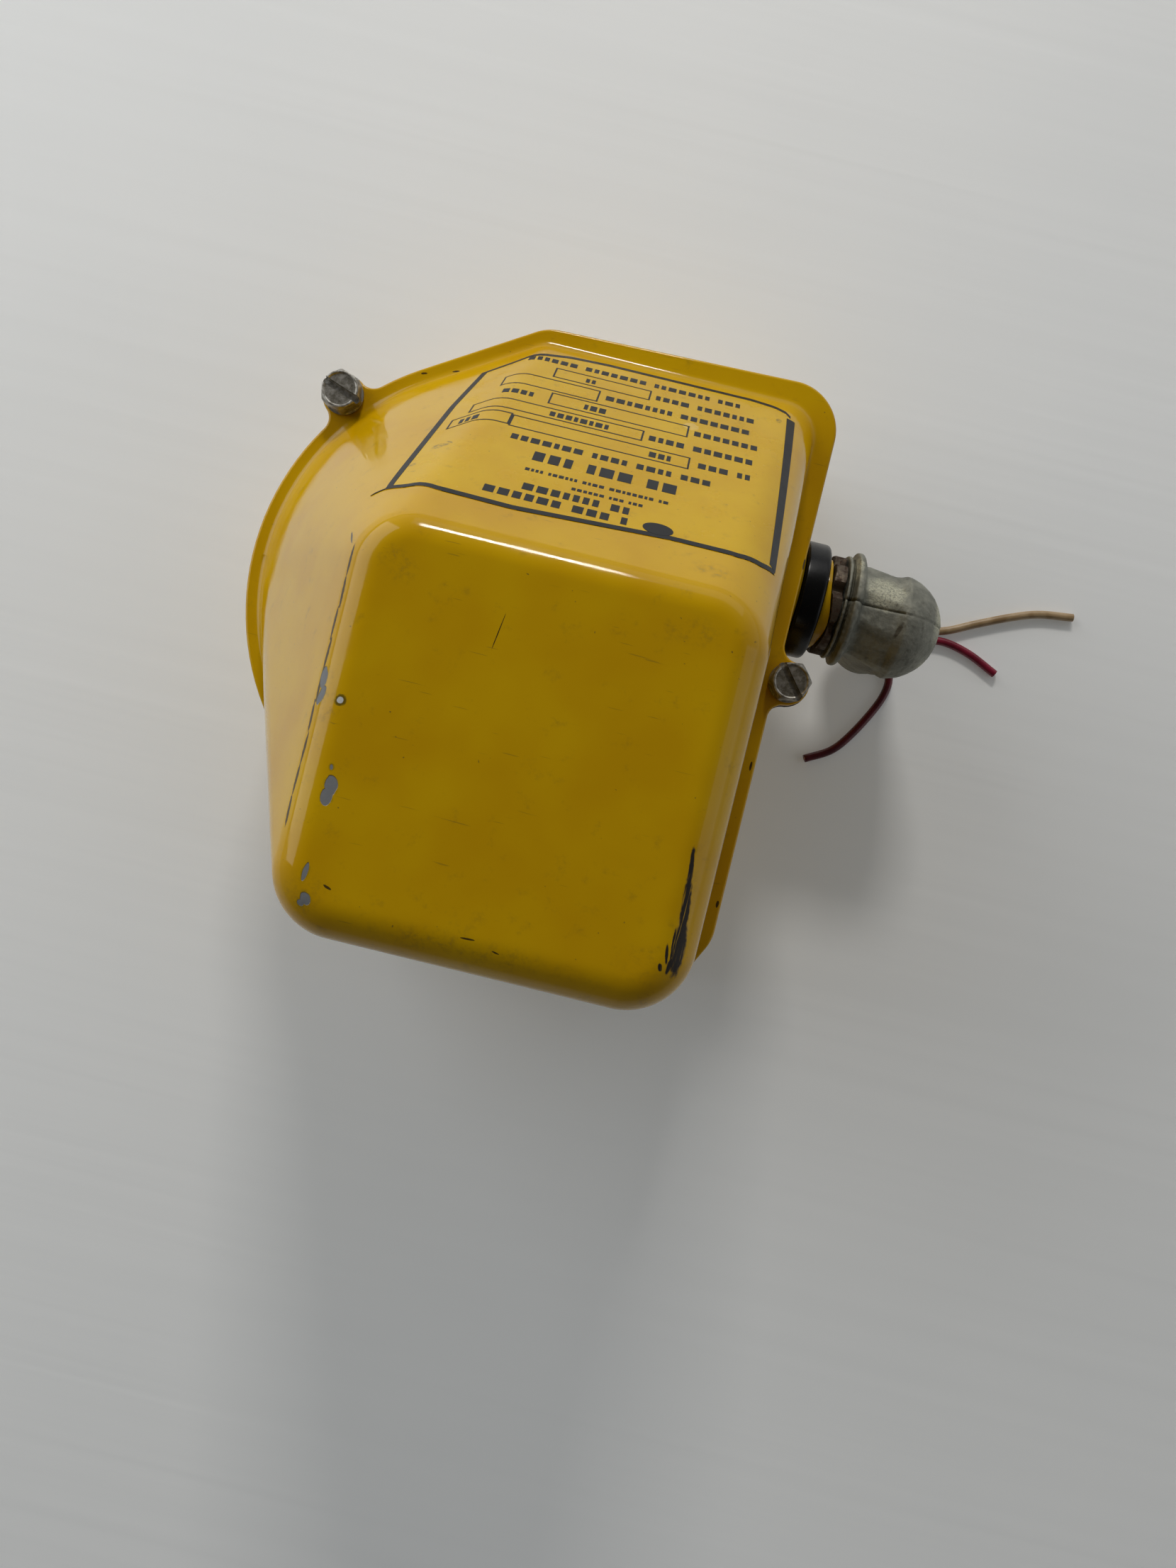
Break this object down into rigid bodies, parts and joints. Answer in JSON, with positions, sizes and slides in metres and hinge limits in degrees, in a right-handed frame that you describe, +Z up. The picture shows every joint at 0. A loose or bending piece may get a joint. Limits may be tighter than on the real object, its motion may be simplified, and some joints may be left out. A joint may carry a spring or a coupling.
{
  "type": "motorized valve actuator",
  "caption": "Quarter-turn electric actuator for a ball valve: cast base, sloping drawn cover with a nameplate, geared output shaft and a side conduit elbow with cut leads.",
  "frame": {"origin": "where the output shaft's axis meets the mounting face, at the middle of the shaft's drive end", "axes": "+Z up the output shaft towards the cover, +X towards the conduit fitting, +Y towards the side with the nameplate"},
  "size_m": [0.2341, 0.1693, 0.1368],
  "materials": {
    "yellow_paint": "gloss enamel",
    "label": "printed film",
    "zinc": "bare die-cast zinc",
    "steel": "plated steel",
    "rusty_steel": "rusty",
    "brass": "machined",
    "bronze": "sintered",
    "black_rubber": "glossy",
    "gasket": "matt",
    "black_plastic": "moulded",
    "grey_plastic": "moulded",
    "white_plastic": "moulded",
    "capacitor_can": "drawn",
    "beige_wire": "insulation",
    "red_wire": "insulation",
    "dark_red_wire": "insulation"
  },
  "bodies": {
    "housing": {"base_housing": "yellow_paint", "cover_shell": "yellow_paint", "conduit_washer": "yellow_paint", "nameplate": "label", "cover_gasket": "gasket", "conduit_seal_ring": "black_rubber", "conduit_locknut": "rusty_steel", "conduit_elbow": "zinc", "cover_screw_1": "steel", "cover_screw_2": "steel", "cover_screw_3": "steel", "gear_plate": "steel", "gear_arbor_1": "steel", "gear_arbor_2": "steel", "standoff_1": "steel", "standoff_2": "steel", "standoff_3": "steel", "standoff_4": "steel", "plate_screw_1": "steel", "plate_screw_2": "steel", "plate_screw_3": "steel", "plate_screw_4": "steel", "motor_screw_1": "steel", "motor_screw_2": "steel", "capacitor_clamp": "steel", "capacitor_clamp_screw": "steel", "switch_bracket": "steel", "bracket_screw": "steel", "switch_pin_1": "steel", "switch_pin_2": "steel", "lower_bush": "bronze", "upper_bush": "bronze", "motor_stator": "bronze", "terminal_screw_1": "brass", "terminal_screw_2": "brass", "terminal_screw_3": "brass", "motor_case": "black_plastic", "limit_switch_1": "black_plastic", "limit_switch_2": "black_plastic", "terminal_strip": "black_plastic", "run_capacitor": "capacitor_can", "motor_end_bell": "capacitor_can", "lead_beige": "beige_wire", "lead_red": "red_wire", "lead_dark_red": "dark_red_wire"},
    "output_drive_train": {"output_shaft": "steel", "output_gear": "steel", "gear_spacer": "steel", "gear_retaining_ring": "steel", "limit_cam_1": "white_plastic", "limit_cam_2": "white_plastic", "cam_set_screw_1": "steel", "cam_set_screw_2": "steel"},
    "cluster_1": {"gear_cluster_1": "brass"},
    "cluster_2": {"gear_cluster_2": "brass"},
    "rotor": {"motor_rotor": "steel"},
    "lever_1": {"switch_lever_1": "steel"},
    "lever_2": {"switch_lever_2": "steel"},
    "plunger_1": {"switch_plunger_1": "grey_plastic"},
    "plunger_2": {"switch_plunger_2": "grey_plastic"}
  },
  "joints": [
    {"name": "output_turn", "type": "hinge", "parent": "housing", "child": "output_drive_train", "pos_m": [0, 0, 0], "axis": [0, 0, 1], "range_deg": [0, 90]},
    {"name": "cluster_2_turn", "type": "hinge", "parent": "housing", "child": "cluster_2", "pos_m": [0.04111, -0.01496, 0.02], "axis": [0, 0, 1], "range_deg": [-361, 1]},
    {"name": "cluster_1_turn", "type": "hinge", "parent": "housing", "child": "cluster_1", "pos_m": [0.044, -0.0403, 0.03], "axis": [0, 0, 1], "range_deg": [-2, 866]},
    {"name": "rotor_turn", "type": "hinge", "parent": "housing", "child": "rotor", "pos_m": [0.01608, -0.0425, 0.05], "axis": [0, 0, 1], "range_deg": [-2164, 4]},
    {"name": "lever_1_press", "type": "hinge", "parent": "housing", "child": "lever_1", "pos_m": [-0.0224, -0.009, 0.0535], "axis": [0, 0, 1], "range_deg": [0, 7], "stiffness_Nm_per_rad": 0.02},
    {"name": "plunger_1_press", "type": "slide", "parent": "housing", "child": "plunger_1", "axis": [-1, 0, 0], "range_m": [0, 0.0008]},
    {"name": "lever_2_press", "type": "hinge", "parent": "housing", "child": "lever_2", "pos_m": [-0.0224, -0.009, 0.0635], "axis": [0, 0, 1], "range_deg": [0, 7], "stiffness_Nm_per_rad": 0.02},
    {"name": "plunger_2_press", "type": "slide", "parent": "housing", "child": "plunger_2", "axis": [-1, 0, 0], "range_m": [0, 0.0008]}
  ],
  "couplings": [
    {"joint": "cluster_2_turn", "follows": "output_turn", "ratio": -4},
    {"joint": "cluster_1_turn", "follows": "output_turn", "ratio": 9.6},
    {"joint": "rotor_turn", "follows": "output_turn", "ratio": -24},
    {"joint": "plunger_1_press", "follows": "lever_1_press", "m_per_rad": 0.0065},
    {"joint": "plunger_2_press", "follows": "lever_2_press", "m_per_rad": 0.0065}
  ]
}
